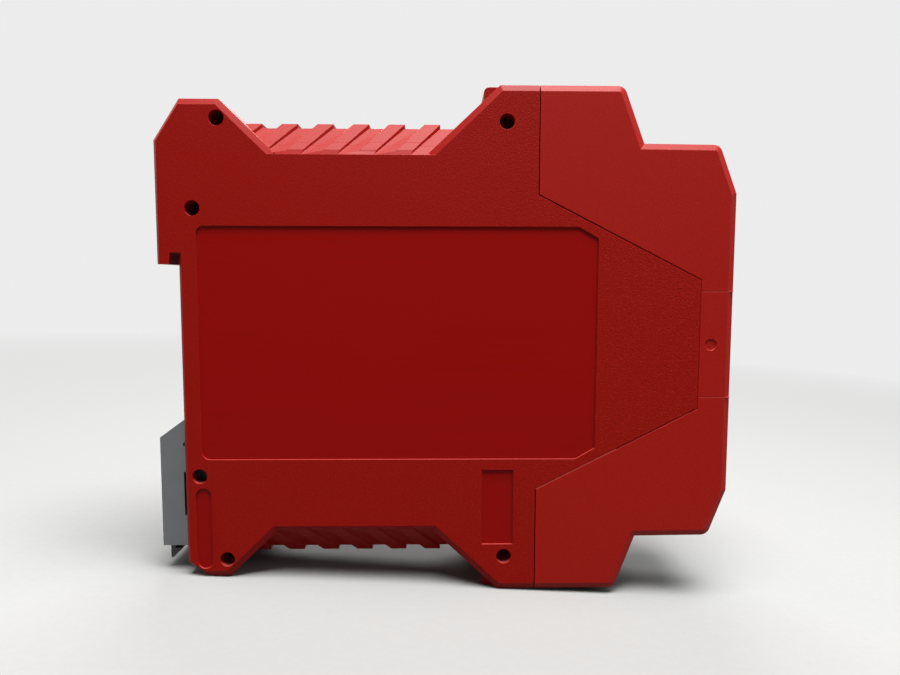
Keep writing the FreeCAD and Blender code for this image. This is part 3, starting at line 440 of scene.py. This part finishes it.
def joint_red():
    """Painted shade of the depth of a joint: dark red, painted lighter towards the tongue's tip."""
    s = Shader("joint_red")
    near_tip = s.ramp(s.split(s.place)["X"], SEAM_X + SHADE_START, TONGUE_X)
    dust = s.noise(1.2 * MM, 2.0)
    deep = s.mix(dust, (0.11, 0.001, 0.0005, 1), (0.13, 0.002, 0.001, 1))
    return s.finish(s.mix(near_tip, deep, shade(RED, 0.85)), 0.8, s.bump(dust, 0.01 * MM, 0.3), specular=0.1)


def joint_lips():
    """Lips behind the leaning joint, the tongue's tip and the two fine lines of the insert."""
    # painted shade: the dark lips stand for the shade deep in the joints
    dark = joint_red()
    # painted highlight: the pale lips below the lower leaning joint and in the insert's joints stand for
    # light caught on the edges there
    pale = plain_plastic("lit_edge_red", LIT_EDGE_RED, rough=0.5, specular=0.2)
    half = JOINT / 2
    seam_x, tip_x = SEAM_X + half, TONGUE_X + half
    seam_z, tip_z = SEAM_CORNER_Z + half, TONGUE_Z + half
    halfway = ((seam_x + tip_x) / 2, -(seam_z + tip_z) / 2)
    insert_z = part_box("front_insert")[1].z + INSERT_JOINT / 2
    insert_xs = (tip_x + JOINT, FRONT_X - FRONT_SETBACK)
    fine = (FINE_DEPTH, FINE_DEPTH)
    lips = [
        ("tongue_lip", [(seam_x, seam_z), (tip_x, tip_z), (tip_x, -tip_z), halfway],
         (LIP_DEPTH, TIP_DEPTH, TIP_DEPTH, TIP_DEPTH), JOINT, dark),
        ("lower_tongue_lip", [halfway, (seam_x, -seam_z)], (TIP_DEPTH, TIP_DEPTH), JOINT, pale),
        ("upper_insert_lip", [(x, insert_z) for x in insert_xs], fine, INSERT_JOINT, pale),
        ("lower_insert_lip", [(x, -insert_z) for x in insert_xs], fine, INSERT_JOINT, pale)]
    for name, path, depths, joint, material in lips:
        lip(name, path, depths, joint + LIP_OVERLAP, material)


def coil_spring():
    """Stands for the catch's spring: its own copy of the spring's mesh, fixed to the housing, in place of
    the hidden CAD spring.
    """
    obj = place_in_scene("coil_spring", frame["nodes"]["catch_spring"].data.copy())
    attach(obj, "housing")
    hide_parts("catch_spring")
    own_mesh(obj)


# ---- Camera, light and floor ----

CAMERA_PLACE = (49.97 * MM, SIDE_Y - 131.4 * MM, 12.58 * MM)
CAMERA_PITCH = 4.86             # degrees down
CAMERA_YAW = 0.98               # degrees to the front of the part
CAMERA_ROLL = 0.11
LENS = 27.06
SENSOR = 36.0
CLIP_START = 0.005

BACKGROUND = 0.84               # how pale the background is; 1 is white
WORLD_LEVEL = 0.16              # light from all round on the part
FLOOR_REACH = 6.0
FLOOR_SIDES = 96
FLOOR_PALE = ((0.29, 0.29, 0.285, 1), (0.31, 0.31, 0.305, 1))
FLOOR_DARK = (0.12, 0.12, 0.12, 1)      # what diffuse light meets, so that little red bounces about
FADE = (0.10, 0.55)             # the floor goes over into the background between these distances

CENTRE = (50 * MM, 0, 0)
LAMPS = (                       # name, place, size, power
    ("overhead", (0.13, -0.16, 0.62), (0.5, 0.32), 12.4),
    ("front_side", (0.60, -0.20, 0.30), (0.4, 0.4), 0.5),
    ("rear", (0.05, 0.50, 0.46), (0.5, 0.3), 3.9),
    ("rear_side", (-0.55, 0.14, 0.25), (0.4, 0.4), 0.8))


def camera():
    data = bpy.data.cameras.new("camera")
    data.lens = LENS
    data.sensor_width = SENSOR
    data.clip_start = CLIP_START
    obj = place_in_scene("camera", data)
    yaw = Matrix.Rotation(math.radians(-CAMERA_YAW), 4, "Z")
    pitch = Matrix.Rotation(math.radians(90 - CAMERA_PITCH), 4, "X")
    roll = Matrix.Rotation(math.radians(CAMERA_ROLL), 4, "Z")
    obj.matrix_world = Matrix.Translation(CAMERA_PLACE) @ yaw @ pitch @ roll
    bpy.context.scene.camera = obj


def lamps():
    """Broad overhead light on the near side, weak ones from both ends and one on the far side."""
    for name, place, size, power in LAMPS:
        data = bpy.data.lights.new(name, "AREA")
        data.shape = "RECTANGLE"
        data.size, data.size_y = size
        data.energy = power
        aim = Vector(CENTRE) - Vector(place)
        turn = aim.to_track_quat("-Z", "Y").to_matrix().to_4x4()
        place_in_scene(name, data).matrix_world = Matrix.Translation(place) @ turn


def world():
    """Weak light from all round; pale to the camera, and to what gloss and glass show of it."""
    made = bpy.data.worlds.new("studio")
    made.use_nodes = True
    bpy.context.scene.world = made
    n = Nodes(made.node_tree)
    back = n.tree.nodes["Background"]
    back.inputs["Color"].default_value = (1, 1, 1, 1)
    n.link(n.ramp(n.seen(), 0.0, 1.0, WORLD_LEVEL, BACKGROUND), back.inputs["Strength"])


def standing():
    """Where the main feet's rear edge stands, and the slope of a floor that the rear foot touches too."""
    points = [(v.co.x, v.co.z) for name in ("side_plate", "rear_housing")
              for v in frame["nodes"][name].data.vertices]
    edge_x = min(x for x, z in points if z < FOOT_Z + 0.05 * MM)
    slope = max((z - FOOT_Z) / (x - edge_x) for x, z in points if x < edge_x - 10 * MM)
    return Vector((edge_x, 0, FOOT_Z)), math.atan(-slope)


def floor():
    """Wide pale floor that goes over into the background all round."""
    angles = [2 * math.pi * i / FLOOR_SIDES for i in range(FLOOR_SIDES)]
    mesh = bpy.data.meshes.new("floor")
    mesh.from_pydata([(FLOOR_REACH * math.cos(a), FLOOR_REACH * math.sin(a), 0) for a in angles], [],
                     [tuple(range(FLOOR_SIDES))])
    obj = place_in_scene("floor", mesh)
    contact, lean = standing()
    obj.matrix_world = Matrix.Translation(contact) @ Matrix.Rotation(lean, 4, "Y")
    s = Shader("floor_paper")
    grain = s.noise(1.5 * MM, 3.0)
    away = s.node("ShaderNodeVectorMath", operation="LENGTH")
    s.link(s.place, away.inputs[0])
    far = s.ramp(away.outputs["Value"], *FADE)
    seen = s.seen()
    near_color = s.mix(seen, FLOOR_DARK, s.mix(grain, *FLOOR_PALE))
    s.bsdf.inputs["Emission Color"].default_value = (1, 1, 1, 1)
    s.link(s.math("MULTIPLY", s.math("MULTIPLY", far, seen), BACKGROUND), s.bsdf.inputs["Emission Strength"])
    mesh.materials.append(s.finish(s.mix(far, near_color, (0, 0, 0, 1)), 0.85,
                                   s.bump(grain, 0.02 * MM, 0.3), specular=0.0))


dress_nodes()
soften_edges()
joint_lips()
coil_spring()
floor()
lamps()
world()
camera()
bpy.context.scene.view_settings.view_transform = "Standard"
